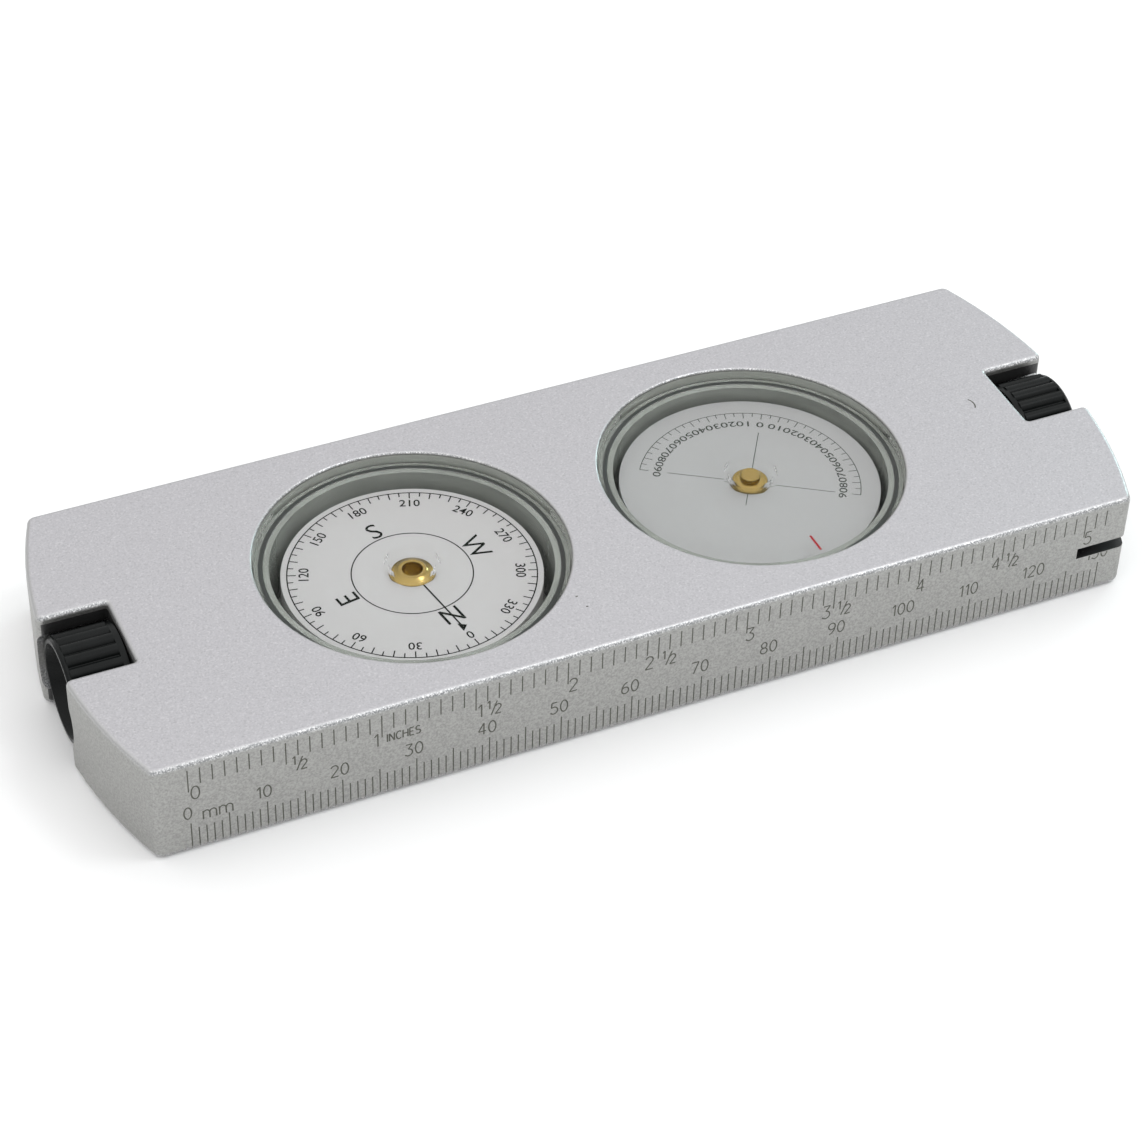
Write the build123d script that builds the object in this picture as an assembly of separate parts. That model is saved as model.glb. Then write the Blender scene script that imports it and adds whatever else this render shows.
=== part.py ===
"""Pocket sighting compass and clinometer in one aluminium block, one STEP file per piece.

Frame: +X along the block from the compass to the clinometer, -Y is the face with the ruler,
+Z is up through the two windows. The origin is the centre of the underside. Millimetres.
"""
from build123d import *
import math
import os

# ---- block ----
BLOCK_LENGTH = 148.5        # between the crowns of the two curved ends
BLOCK_WIDTH = 52.3
BLOCK_HEIGHT = 15.2
END_RADIUS = 69.4           # curve of each end, seen from above
CORNER_ROUND = 1.2          # upright corners
EDGE_ROUND = 0.7            # every edge around the top
UNDERSIDE_ROUND = 1.1
MID_HEIGHT = BLOCK_HEIGHT / 2
OVERRUN = 1.0               # how far a cutter runs past the face that it opens

# ---- instrument bores and capsules ----
BORE_RADIUS = 21.0
BORE_OFFSET = 24.8          # from the middle of the block to each bore
BORE_RIM_ROUND = 0.35
CAPSULE_RADIUS = 20.8
CAPSULE_WALL = 2.0
CAPSULE_INSIDE = CAPSULE_RADIUS - CAPSULE_WALL
WINDOW_RECESS = 0.5         # window below the top face
WINDOW_THICKNESS = 1.3
WINDOW_CHAMFER = 0.15
WINDOW_TOP = BLOCK_HEIGHT - WINDOW_RECESS
WINDOW_UNDERSIDE = WINDOW_TOP - WINDOW_THICKNESS
CUP_GAP = 0.1               # cup rim to window, taken up by the seal
CUP_TOP = WINDOW_UNDERSIDE - CUP_GAP
CUP_BOTTOM_GAP = 0.05       # cup above the base plate
CUP_FLOOR_THICKNESS = 1.35
BOSS_RADIUS = 3.7           # ring moulded under the window around the hub
BOSS_INSIDE = 3.1
BOSS_DEPTH = 0.9
SEAL_RADIUS = 19.9          # middle of the seal's section
SEAL_WIDTH = 0.6
SEAL_GROOVE_DEPTH = 0.5

# ---- base plate ----
PLATE_LENGTH = 98.0
PLATE_WIDTH = 46.0
PLATE_CORNER = 4.0
PLATE_FIT = 0.15            # gap all round in its recess
RECESS_DEPTH = 1.1
PLATE_SINK = 0.15           # plate above the resting surface
SCREW_X = 46.0
SCREW_Y = 20.0
SCREW_RADIUS = 0.8
SCREW_HEAD_RADIUS = 1.5
SCREW_HEAD_HEIGHT = 0.7
SCREW_LENGTH = 4.6
SCREW_HOLE_SPARE = 0.3      # hole beyond the screw's tip
CROSS_LENGTH = 1.7
CROSS_WIDTH = 0.35
CROSS_DEPTH = 0.4

# ---- cards ----
COMPASS_CARD_RADIUS = 17.35
CLINOMETER_CARD_RADIUS = 17.9
CARD_THICKNESS = 0.6
CARD_TOP = 11.6
CARD_RIM_WALL = 0.6
CARD_RIM_BOTTOM = 6.6
CARD_UNDERSIDE = CARD_TOP - CARD_THICKNESS

# ---- pivot sockets in the cup floors ----
SOCKET_RADIUS = 1.2
SOCKET_BOSS_RADIUS = 2.2
SOCKET_TOP = 3.5
SOCKET_BOTTOM = 1.7
PIVOT_SEAT = 2.1
NORTH_BEARING = -81.5       # direction of north on the resting compass card, degrees from +X
ZERO_BEARING = 57.5         # direction of zero on the resting clinometer card

# ---- compass hub, magnets and pivot ----
HUB_FLANGE_RADIUS = 2.8
HUB_FLANGE_THICKNESS = 0.25
HUB_NECK_RADIUS = 1.9
HUB_MOUTH_RADIUS = 1.4
HUB_TOP = 12.3
HUB_FOOT = 10.0
HUB_WELL_FLOOR = 10.9
JEWEL_RADIUS = 1.0
JEWEL_TOP = 10.7
JEWEL_HOLLOW_MOUTH = 0.75   # radius of the ground hollow at the stone's foot
JEWEL_HOLLOW_CROWN = 0.1
JEWEL_HOLLOW_DEPTH = 0.55
HUB_LIP = 0.15              # slope of the collar under its top
HUB_LIP_DROP = 0.1
PIVOT_RADIUS = 0.4
PIVOT_SHOULDER = 9.5
PIVOT_TIP = 10.4
PIVOT_POINT_RADIUS = 0.06
MAGNET_LENGTH = 15.0
MAGNET_WIDTH = 2.4
MAGNET_HEIGHT = 1.6
MAGNET_OFFSET = 4.6

# ---- clinometer hub, axle and weight ----
STEP_FLANGE_RADIUS = 2.45
STEP_FLANGE_TOP = 12.1
STEP_CAP_RADIUS = 1.38
STEP_CAP_TOP = 13.1
STEP_SPIGOT_RADIUS = 1.6
STEP_FOOT = 9.0
STEP_BREAK = 0.1            # broken edge of the flange
STEP_SLOPE = 0.15           # rise of the flange towards the cap
STEP_CAP_BREAK = 0.12
AXLE_RADIUS = 0.35
AXLE_CLEARANCE = 0.05
AXLE_TOP = 12.5
AXLE_END_PLAY = 0.15
WEIGHT_INNER = 8.0
WEIGHT_OUTER = 15.5
WEIGHT_HALF_ANGLE = 35
WEIGHT_HEIGHT = 1.6

# ---- end notches and eyepieces, measured outwards from the middle of the block ----
NOTCH_WIDTH = 12.0
NOTCH_WALL = 64.6           # flat inner wall of the notch
NOTCH_INNER_ROUND = 0.4
NOTCH_MOUTH_ROUND = 0.9
KNOB_POCKET_RADIUS = 7.65
KNOB_RADIUS = 7.4
KNOB_START = 64.9
KNOB_END = 73.15
KNOB_COLLAR = 0.8           # smooth band at the knob's inner end
KNOB_BAND_RADIUS = 7.2
KNOB_RIM = 0.6              # smooth band at the knob's outer end
KNOB_RIBS = 22
KNOB_RIB_RADIUS = 1.0       # each rib is round-backed
KNOB_CORE_RADIUS = 6.85
KNOB_CHAMFER = 0.3
EYECUP_MOUTH = 6.4
EYECUP_THROAT = 4.3
EYECUP_DEPTH = 5.4
NECK_RADIUS = 4.5
NECK_BORE = 3.7
NECK_END = 54.5
CLIP_RADIUS = 5.1
CLIP_START = 54.6
CLIP_END = 55.6
TUBE_BORE = 5.4
TUBE_BORE_START = 45.0
SLEEVE_START = 55.9
SLEEVE_BORE = 4.58
CELL_RADIUS = 3.62
CELL_BORE = 2.9
CELL_START = 49.2
CELL_END = 66.4
LENS_SEAT = 63.0
LENS_RADIUS = 3.2
LENS_EDGE = 1.4
LENS_DOME_RADIUS = 2.6
LENS_DOME_HEIGHT = 0.45
LENS_RING_LENGTH = 1.2
KEYWAY_WIDTH = 1.2
KEYWAY_END = 53.4
GUIDE_PIN_X = 51.3
GUIDE_PIN_RADIUS = 0.5
GUIDE_PIN_BOTTOM = 0.3
GUIDE_PIN_TOP = 4.5

# ---- lanyard slot ----
SLOT_CUTTER_X = 70.2
SLOT_CUTTER_Y = -27.2
SLOT_CUTTER_RADIUS = 8.6
SLOT_HEIGHT = 1.75
LANYARD_PIN_X = 66.0
LANYARD_PIN_Y = -22.9
LANYARD_PIN_RADIUS = 1.0
LANYARD_PIN_BOTTOM = 0.3
LANYARD_PIN_TOP = 11.8

COMPASS_X = -BORE_OFFSET
CLINOMETER_X = BORE_OFFSET


def post(radius, bottom, top, x=0.0, y=0.0):
    """Upright cylinder between two heights."""
    return Pos(x, y, (bottom + top) / 2) * Cylinder(radius, top - bottom)


def ring(outer, inner, bottom, top, x=0.0):
    """Upright ring between two heights."""
    return post(outer, bottom, top, x) - post(inner, bottom - OVERRUN, top + OVERRUN, x)


def rod(radius, start, end):
    """Cylinder along +X on the eyepiece line."""
    return Pos((start + end) / 2, 0, MID_HEIGHT) * Rot(0, 90, 0) * Cylinder(radius, end - start)


def tube(outer, inner, start, end):
    """Pipe along +X on the eyepiece line."""
    return rod(outer, start, end) - rod(inner, start - OVERRUN, end + OVERRUN)


def turned(points, x):
    """Solid of revolution about the upright axis at x, from (radius, height) points."""
    profile = make_face(Polyline(*[(r, 0, z) for r, z in points], close=True))
    return Pos(x, 0, 0) * revolve(profile, Axis.Z)


def block_plan():
    """Outline of the block from above, with the two end notches."""
    half_width = BLOCK_WIDTH / 2
    crown = BLOCK_LENGTH / 2
    corner = crown - END_RADIUS + math.sqrt(END_RADIUS**2 - half_width**2)
    outline = [
        Line((-corner, -half_width), (corner, -half_width)),
        ThreePointArc((corner, -half_width), (crown, 0), (corner, half_width)),
        Line((corner, half_width), (-corner, half_width)),
        ThreePointArc((-corner, half_width), (-crown, 0), (-corner, -half_width)),
    ]
    plan = make_face(outline)
    reach = 2 * (crown - NOTCH_WALL)
    for side in (-1, 1):
        plan -= Pos(side * (NOTCH_WALL + reach / 2), 0) * Rectangle(reach, NOTCH_WIDTH)
    corners = plan.vertices().filter_by(lambda v: abs(v.Y) > half_width - CORNER_ROUND)
    plan = fillet(corners, CORNER_ROUND)
    in_notch = plan.vertices().filter_by(lambda v: abs(v.Y) < NOTCH_WIDTH / 2 + CORNER_ROUND)
    in_notch = in_notch.sort_by(lambda v: abs(v.X))
    inner_corners, mouth_corners = in_notch[:4], in_notch[4:]
    plan = fillet(inner_corners, NOTCH_INNER_ROUND)
    mouth_corners = [plan.vertices().sort_by_distance(corner)[0] for corner in mouth_corners]
    return fillet(mouth_corners, NOTCH_MOUTH_ROUND)


def body_block():
    """The machined aluminium block that holds everything."""
    block = extrude(block_plan(), BLOCK_HEIGHT)
    block = fillet(block.faces().sort_by(Axis.Z)[0].edges(), UNDERSIDE_ROUND)
    block = fillet(block.faces().sort_by(Axis.Z)[-1].edges(), EDGE_ROUND)
    for x in (COMPASS_X, CLINOMETER_X):
        block -= post(BORE_RADIUS, -OVERRUN, BLOCK_HEIGHT + OVERRUN, x)
    top_face = block.faces().sort_by(Axis.Z)[-1]
    block = fillet(top_face.inner_wires().edges(), BORE_RIM_ROUND)
    recess_length = PLATE_LENGTH + 2 * PLATE_FIT
    recess_width = PLATE_WIDTH + 2 * PLATE_FIT
    block -= extrude(RectangleRounded(recess_length, recess_width, PLATE_CORNER), RECESS_DEPTH)
    for side in (-1, 1):
        block -= mirrored(rod(TUBE_BORE, TUBE_BORE_START, NOTCH_WALL + OVERRUN), side)
        block -= mirrored(rod(KNOB_POCKET_RADIUS, NOTCH_WALL, BLOCK_LENGTH / 2 + OVERRUN), side)
        block -= mirrored(post(GUIDE_PIN_RADIUS, 0, MID_HEIGHT, GUIDE_PIN_X), side)
    for x, y in screw_places():
        block -= post(SCREW_RADIUS, 0, PLATE_SINK + SCREW_LENGTH + SCREW_HOLE_SPARE, x, y)
    block -= Pos(SLOT_CUTTER_X, SLOT_CUTTER_Y, MID_HEIGHT) * Cylinder(SLOT_CUTTER_RADIUS, SLOT_HEIGHT)
    block -= post(LANYARD_PIN_RADIUS, -OVERRUN, LANYARD_PIN_TOP, LANYARD_PIN_X, LANYARD_PIN_Y)
    return block


def mirrored(solid, side):
    """The solid itself for the +X end, or its mirror image for the -X end."""
    return solid if side > 0 else mirror(solid, Plane.YZ)


def screw_places():
    """Six screws hold the plate: its four corners and the middle of each long side."""
    return [(x, y) for x in (-SCREW_X, 0, SCREW_X) for y in (-SCREW_Y, SCREW_Y)]


def base_plate():
    """Flat plate that closes both bores from below."""
    plate = Pos(0, 0, PLATE_SINK) * extrude(
        RectangleRounded(PLATE_LENGTH, PLATE_WIDTH, PLATE_CORNER), RECESS_DEPTH - PLATE_SINK
    )
    for x, y in screw_places():
        plate -= post(SCREW_RADIUS, 0, RECESS_DEPTH + OVERRUN, x, y)
        plate -= Pos(x, y, PLATE_SINK + SCREW_HEAD_HEIGHT / 2) * Cone(
            SCREW_HEAD_RADIUS, SCREW_RADIUS, SCREW_HEAD_HEIGHT
        )
    return plate


def base_screws():
    """Six countersunk screws with cross recesses."""
    screws = []
    for x, y in screw_places():
        head = Pos(0, 0, SCREW_HEAD_HEIGHT / 2) * Cone(SCREW_HEAD_RADIUS, SCREW_RADIUS, SCREW_HEAD_HEIGHT)
        screw = head + post(SCREW_RADIUS, SCREW_HEAD_HEIGHT / 2, SCREW_LENGTH)
        for turn in (0, 90):
            screw -= Rot(0, 0, turn) * Box(CROSS_LENGTH, CROSS_WIDTH, 2 * CROSS_DEPTH)
        screws.append(Pos(x, y, PLATE_SINK) * screw)
    return Compound(children=screws)


def capsule_cup(x):
    """Clear cup that carries the card's pivot on a boss in its floor."""
    bottom = RECESS_DEPTH + CUP_BOTTOM_GAP
    floor_top = bottom + CUP_FLOOR_THICKNESS
    cup = post(CAPSULE_RADIUS, bottom, CUP_TOP, x)
    cup -= post(CAPSULE_INSIDE, floor_top, CUP_TOP + OVERRUN, x)
    cup += post(SOCKET_BOSS_RADIUS, bottom, SOCKET_TOP, x)
    cup -= post(SOCKET_RADIUS, SOCKET_BOTTOM, SOCKET_TOP + OVERRUN, x)
    groove_inner = SEAL_RADIUS - SEAL_WIDTH / 2
    groove_outer = SEAL_RADIUS + SEAL_WIDTH / 2
    return cup - ring(groove_outer, groove_inner, CUP_TOP - SEAL_GROOVE_DEPTH, CUP_TOP + OVERRUN, x)


def capsule_seal(x):
    """Flat seal pinched between the cup and the window."""
    inner = SEAL_RADIUS - SEAL_WIDTH / 2
    outer = SEAL_RADIUS + SEAL_WIDTH / 2
    return ring(outer, inner, CUP_TOP - SEAL_GROOVE_DEPTH, WINDOW_UNDERSIDE, x)


def capsule_window(x):
    """Clear window with a moulded ring around the hub."""
    window = post(CAPSULE_RADIUS, WINDOW_UNDERSIDE, WINDOW_TOP, x)
    window = chamfer(window.edges().filter_by(GeomType.CIRCLE).sort_by(Axis.Z)[-1], WINDOW_CHAMFER)
    return window + ring(BOSS_RADIUS, BOSS_INSIDE, WINDOW_UNDERSIDE - BOSS_DEPTH, WINDOW_UNDERSIDE, x)


def card(x, radius, hole):
    """Card with a turned-down rim, read from above and through the eyepiece."""
    disc = post(radius, CARD_RIM_BOTTOM, CARD_TOP, x)
    disc -= post(radius - CARD_RIM_WALL, CARD_RIM_BOTTOM - OVERRUN, CARD_UNDERSIDE, x)
    return disc - post(hole, CARD_RIM_BOTTOM - OVERRUN, CARD_TOP + OVERRUN, x)


def pivot_socket(x, bore):
    """Brass socket in the cup's floor boss."""
    socket = post(SOCKET_RADIUS, SOCKET_BOTTOM, SOCKET_TOP, x)
    return socket - post(bore, PIVOT_SEAT, SOCKET_TOP + OVERRUN, x)


def compass_pivot():
    """Steel needle that the compass card turns on."""
    return turned(
        [
            (0, PIVOT_SEAT),
            (PIVOT_RADIUS, PIVOT_SEAT),
            (PIVOT_RADIUS, PIVOT_SHOULDER),
            (PIVOT_POINT_RADIUS, PIVOT_TIP),
            (0, PIVOT_TIP),
        ],
        COMPASS_X,
    )


def compass_jewel():
    """Hollow-ground stone that sits on the needle's point."""
    stone = post(JEWEL_RADIUS, HUB_FOOT, JEWEL_TOP, COMPASS_X)
    crown = HUB_FOOT + JEWEL_HOLLOW_DEPTH
    hollow = turned(
        [
            (0, HUB_FOOT),
            (JEWEL_HOLLOW_MOUTH, HUB_FOOT),
            (JEWEL_HOLLOW_CROWN, crown),
            (0, crown),
        ],
        COMPASS_X,
    )
    return stone - hollow


def compass_hub():
    """Brass hub with a sloping collar and an open well above the stone."""
    hub = turned(
        [
            (0, HUB_FOOT),
            (HUB_NECK_RADIUS, HUB_FOOT),
            (HUB_NECK_RADIUS, CARD_TOP),
            (HUB_FLANGE_RADIUS, CARD_TOP),
            (HUB_FLANGE_RADIUS, CARD_TOP + HUB_FLANGE_THICKNESS),
            (HUB_NECK_RADIUS + HUB_LIP, HUB_TOP - HUB_LIP_DROP),
            (HUB_NECK_RADIUS, HUB_TOP),
            (HUB_MOUTH_RADIUS, HUB_TOP),
            (HUB_MOUTH_RADIUS, HUB_WELL_FLOOR),
            (0, HUB_WELL_FLOOR),
        ],
        COMPASS_X,
    )
    return hub - post(JEWEL_RADIUS, HUB_FOOT - OVERRUN, JEWEL_TOP, COMPASS_X)


def compass_magnets():
    """Two bar magnets under the card, side by side along its north line."""
    bars = []
    for side in (-1, 1):
        bar = Pos(0, side * MAGNET_OFFSET, CARD_UNDERSIDE - MAGNET_HEIGHT / 2) * Box(
            MAGNET_LENGTH, MAGNET_WIDTH, MAGNET_HEIGHT
        )
        bars.append(Pos(COMPASS_X, 0, 0) * Rot(0, 0, NORTH_BEARING) * bar)
    return Compound(children=bars)


def clinometer_hub():
    """Stepped brass hub with a blind bore for the axle."""
    hub = turned(
        [
            (0, STEP_FOOT),
            (STEP_SPIGOT_RADIUS, STEP_FOOT),
            (STEP_SPIGOT_RADIUS, CARD_TOP),
            (STEP_FLANGE_RADIUS, CARD_TOP),
            (STEP_FLANGE_RADIUS, STEP_FLANGE_TOP - STEP_BREAK),
            (STEP_FLANGE_RADIUS - STEP_BREAK, STEP_FLANGE_TOP),
            (STEP_CAP_RADIUS, STEP_FLANGE_TOP + STEP_SLOPE),
            (STEP_CAP_RADIUS, STEP_CAP_TOP - STEP_CAP_BREAK),
            (STEP_CAP_RADIUS - STEP_CAP_BREAK, STEP_CAP_TOP),
            (0, STEP_CAP_TOP),
        ],
        CLINOMETER_X,
    )
    bore = AXLE_RADIUS + AXLE_CLEARANCE
    return hub - post(bore, STEP_FOOT - OVERRUN, AXLE_TOP + AXLE_END_PLAY, CLINOMETER_X)


def clinometer_axle():
    """Steel axle that the clinometer card turns on."""
    return post(AXLE_RADIUS, PIVOT_SEAT, AXLE_TOP, CLINOMETER_X)


def clinometer_weight():
    """Brass segment under the card's zero, which always swings to the bottom."""
    low = CARD_UNDERSIDE - WEIGHT_HEIGHT
    wedge = Cylinder(
        WEIGHT_OUTER,
        WEIGHT_HEIGHT,
        arc_size=2 * WEIGHT_HALF_ANGLE,
        align=(Align.NONE, Align.NONE, Align.MIN),
    )
    wedge = Pos(0, 0, low) * wedge - post(WEIGHT_INNER, low - OVERRUN, CARD_UNDERSIDE + OVERRUN)
    return Pos(CLINOMETER_X, 0, 0) * Rot(0, 0, ZERO_BEARING - WEIGHT_HALF_ANGLE) * wedge


def focus_ring():
    """Ribbed ring with a deep eyecup and a neck that turns in the sleeve."""
    rib_start = KNOB_START + KNOB_COLLAR
    rib_end = KNOB_END - KNOB_RIM
    knob = rod(KNOB_CORE_RADIUS, rib_start, rib_end)
    rib = Pos((rib_start + rib_end) / 2, 0, KNOB_RADIUS - KNOB_RIB_RADIUS) * Rot(0, 90, 0) * Cylinder(
        KNOB_RIB_RADIUS, rib_end - rib_start
    )
    for i in range(KNOB_RIBS):
        knob += Pos(0, 0, MID_HEIGHT) * Rot(360 / KNOB_RIBS * i, 0, 0) * rib
    rim = rod(KNOB_BAND_RADIUS, rib_end, KNOB_END)
    knob += chamfer(rim.edges().filter_by(GeomType.CIRCLE).sort_by(Axis.X)[-1], KNOB_CHAMFER)
    knob += rod(KNOB_BAND_RADIUS, KNOB_START, rib_start)
    knob += rod(NECK_RADIUS, NECK_END, KNOB_START)
    knob -= Pos(KNOB_END - EYECUP_DEPTH / 2, 0, MID_HEIGHT) * Rot(0, 90, 0) * Cone(
        EYECUP_THROAT, EYECUP_MOUTH, EYECUP_DEPTH
    )
    return knob - rod(NECK_BORE, NECK_END - OVERRUN, KNOB_END + OVERRUN)


def retaining_ring():
    """Ring on the neck's inner end that keeps the focus ring in the block."""
    return tube(CLIP_RADIUS, NECK_RADIUS, CLIP_START, CLIP_END)


def eyepiece_sleeve():
    """Bush pressed into the block around the neck."""
    return tube(TUBE_BORE, SLEEVE_BORE, SLEEVE_START, NOTCH_WALL)


def lens_cell():
    """Tube that slides to focus, with a keyway that stops it turning."""
    cell = tube(CELL_RADIUS, CELL_BORE, CELL_START, CELL_END)
    cell -= rod(LENS_RADIUS, LENS_SEAT, CELL_END + OVERRUN)
    length = KEYWAY_END - CELL_START + OVERRUN
    keyway = Box(length, KEYWAY_WIDTH, 2 * (CELL_RADIUS - CELL_BORE + OVERRUN))
    return cell - Pos(KEYWAY_END - length / 2, 0, MID_HEIGHT - CELL_RADIUS) * keyway


def eye_lens():
    """Plano-convex lens with a flat edge."""
    edge = LENS_SEAT + LENS_EDGE
    crown = edge + LENS_DOME_HEIGHT
    sphere = (LENS_DOME_RADIUS**2 + LENS_DOME_HEIGHT**2) / (2 * LENS_DOME_HEIGHT)
    outline = [
        Polyline(
            (crown, 0),
            (LENS_SEAT, 0),
            (LENS_SEAT, LENS_RADIUS),
            (edge, LENS_RADIUS),
            (edge, LENS_DOME_RADIUS),
        ),
        RadiusArc((edge, LENS_DOME_RADIUS), (crown, 0), sphere),
    ]
    return Pos(0, 0, MID_HEIGHT) * revolve(make_face(outline), Axis.X)


def lens_ring():
    """Threaded ring that holds the lens in its cell."""
    start = LENS_SEAT + LENS_EDGE
    return tube(LENS_RADIUS, LENS_DOME_RADIUS, start, start + LENS_RING_LENGTH)


def guide_pin():
    """Pin that runs in the lens cell's keyway."""
    return post(GUIDE_PIN_RADIUS, GUIDE_PIN_BOTTOM, GUIDE_PIN_TOP, GUIDE_PIN_X)


def lanyard_pin():
    """Steel pin across the slot, for a cord loop."""
    return post(LANYARD_PIN_RADIUS, LANYARD_PIN_BOTTOM, LANYARD_PIN_TOP, LANYARD_PIN_X, LANYARD_PIN_Y)


def all_pieces():
    """Every piece under its node name."""
    pieces = {
        "body_block": body_block(),
        "base_plate": base_plate(),
        "base_screws": base_screws(),
        "lanyard_pin": lanyard_pin(),
    }
    for name, x in (("compass", COMPASS_X), ("clinometer", CLINOMETER_X)):
        pieces[f"{name}_capsule_cup"] = capsule_cup(x)
        pieces[f"{name}_seal"] = capsule_seal(x)
        pieces[f"{name}_window"] = capsule_window(x)
    pieces["compass_card"] = card(COMPASS_X, COMPASS_CARD_RADIUS, HUB_NECK_RADIUS)
    pieces["compass_magnets"] = compass_magnets()
    pieces["compass_hub"] = compass_hub()
    pieces["compass_jewel"] = compass_jewel()
    pieces["compass_pivot"] = compass_pivot()
    pieces["compass_pivot_socket"] = pivot_socket(COMPASS_X, PIVOT_RADIUS)
    pieces["clinometer_card"] = card(CLINOMETER_X, CLINOMETER_CARD_RADIUS, STEP_SPIGOT_RADIUS)
    pieces["clinometer_weight"] = clinometer_weight()
    pieces["clinometer_hub"] = clinometer_hub()
    pieces["clinometer_axle"] = clinometer_axle()
    pieces["clinometer_axle_socket"] = pivot_socket(CLINOMETER_X, AXLE_RADIUS)
    eyepiece = {
        "focus_ring": focus_ring(),
        "retaining_ring": retaining_ring(),
        "eyepiece_sleeve": eyepiece_sleeve(),
        "lens_cell": lens_cell(),
        "eye_lens": eye_lens(),
        "lens_ring": lens_ring(),
        "guide_pin": guide_pin(),
    }
    for name, side in (("compass", -1), ("clinometer", 1)):
        for part_name, solid in eyepiece.items():
            pieces[f"{name}_{part_name}"] = mirrored(solid, side)
    return pieces


os.makedirs("parts", exist_ok=True)
for node, solid in all_pieces().items():
    export_step(solid, f"parts/{node}.step")
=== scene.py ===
"""Looks of a pocket sighting compass and clinometer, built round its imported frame.

Lengths are metres. +X runs from the compass to the clinometer, -Y is the ruler face, +Z is up.
"""
import math

import bmesh
import bpy
from mathutils import Matrix, Vector


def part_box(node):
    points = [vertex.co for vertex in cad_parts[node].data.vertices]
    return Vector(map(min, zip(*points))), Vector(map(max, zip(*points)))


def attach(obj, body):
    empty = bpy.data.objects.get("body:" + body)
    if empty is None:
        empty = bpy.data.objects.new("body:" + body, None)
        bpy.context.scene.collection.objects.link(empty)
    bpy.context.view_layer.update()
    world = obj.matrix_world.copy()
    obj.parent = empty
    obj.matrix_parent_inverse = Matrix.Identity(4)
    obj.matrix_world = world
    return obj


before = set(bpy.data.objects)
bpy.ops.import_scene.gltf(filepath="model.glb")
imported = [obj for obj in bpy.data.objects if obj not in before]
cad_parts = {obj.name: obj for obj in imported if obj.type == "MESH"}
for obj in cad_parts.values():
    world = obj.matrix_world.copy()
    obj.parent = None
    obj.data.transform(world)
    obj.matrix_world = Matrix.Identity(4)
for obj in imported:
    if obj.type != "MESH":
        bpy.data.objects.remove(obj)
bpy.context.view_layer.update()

MM = 0.001
INCH = 25.4 * MM

# ---- places read from the frame ----
BLOCK_LOW, BLOCK_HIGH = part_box("body_block")
TOP = BLOCK_HIGH.z
RULER_FACE = BLOCK_LOW.y


def middle(node):
    """Centre of a node's box."""
    low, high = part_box(node)
    return (low + high) / 2


COMPASS_CENTRE = middle("compass_capsule_cup")
CLINOMETER_CENTRE = middle("clinometer_capsule_cup")
CARD_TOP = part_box("compass_card")[1].z
WINDOW_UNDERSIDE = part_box("compass_seal")[1].z
WINDOW_PLAY = 0.2 * MM       # gap between a window and its bore
BORE_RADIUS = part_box("compass_window")[1].x - COMPASS_CENTRE.x + WINDOW_PLAY
BORE_REACH = 0.1 * MM        # how far past the bore's radius its wall is still its own
BORE_RIM = 0.45 * MM         # just deeper than the rounded rim
BORE_FOOT = 1.0 * MM         # its wall is counted from this height
NOTCH_WALL = 64.5 * MM       # just short of the notches' inner walls
NOTCH_HALF_WIDTH = 6.1 * MM  # just wider than half a notch
NOTCH_MOUTH = 1.1 * MM       # just deeper than the rounded mouth
HOLLOW_FOOT = 0.3 * MM       # level faces above this height
HOLLOW_ROOF = 1.0 * MM       # and further below the top than this are inside the block

# ---- ruler ----
RULER_ZERO = -64.65 * MM
MM_TICKS = 130
INCH_TICKS = 82              # sixteenths
UNDERSIDE_ROUND = 1.1 * MM   # round of the block's lower edge, which the ticks run down
MM_TICK_FOOT = 0.5 * MM
MM_TICK_SHORT = 4.0 * MM     # height of its top
MM_TICK_LONG = 5.0 * MM
INCH_TICK_TOP = 14.1 * MM
INCH_TICK_SHORT = 2.65 * MM
INCH_TICK_LONG = 3.7 * MM
TICK_WIDTH = 0.17 * MM
ENGRAVING_WIDTH = 0.2 * MM
INLAY = 0.012 * MM           # how far printing and engraving fill stand proud

# ---- cards ----
NORTH_BEARING = -80.1        # degrees from +X
ZERO_BEARING = 57.5
CARD_LINE = 0.17 * MM
CLINOMETER_LINE = 0.65 * CARD_LINE
COMPASS_RING = 16.5 * MM
INNER_RING = 8.05 * MM
ARROW_TIP = 13.4 * MM
ARROW_REACH = 0.95 * MM      # corners of the arrowhead from its middle
ARROW_NECK = 1.0 * MM        # from the tip back to the end of the line
NORTH_LINE = 0.24 * MM
NORTH_LINE_START = 2.0 * MM  # under the hub's flange
COMPASS_FIGURES = 1.4 * MM
COMPASS_FIGURE_RING = 14.35 * MM
COMPASS_LETTERS = 3.1 * MM
COMPASS_LETTER_RING = 9.95 * MM
CLINOMETER_ARC = 15.2 * MM
CLINOMETER_FIGURES = 1.15 * MM
CLINOMETER_FIGURE_RING = 12.75 * MM
CLINOMETER_STRETCH = 1.45    # its figures are set wide
COMPASS_SHORT_TICK = 0.8 * MM
CLINOMETER_SHORT_TICK = 0.75 * MM
CARD_LONG_TICK = 1.2 * MM
# Cross lines of the clinometer card: bearing from zero, inner end and outer end in millimetres.
CROSS_LINES = ((0, 2.6, 11.0), (180, 2.4, 5.0), (90, 2.4, 11.4), (-90, 2.4, 11.7))
# Ends of the red line from the capsule's middle, in millimetres.
INDEX_ENDS = ((1.45, -15.0), (1.5, -18.1))
INDEX_WIDTH = 0.32 * MM


# ---------------------------------------------------------------- shader helpers

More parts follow.
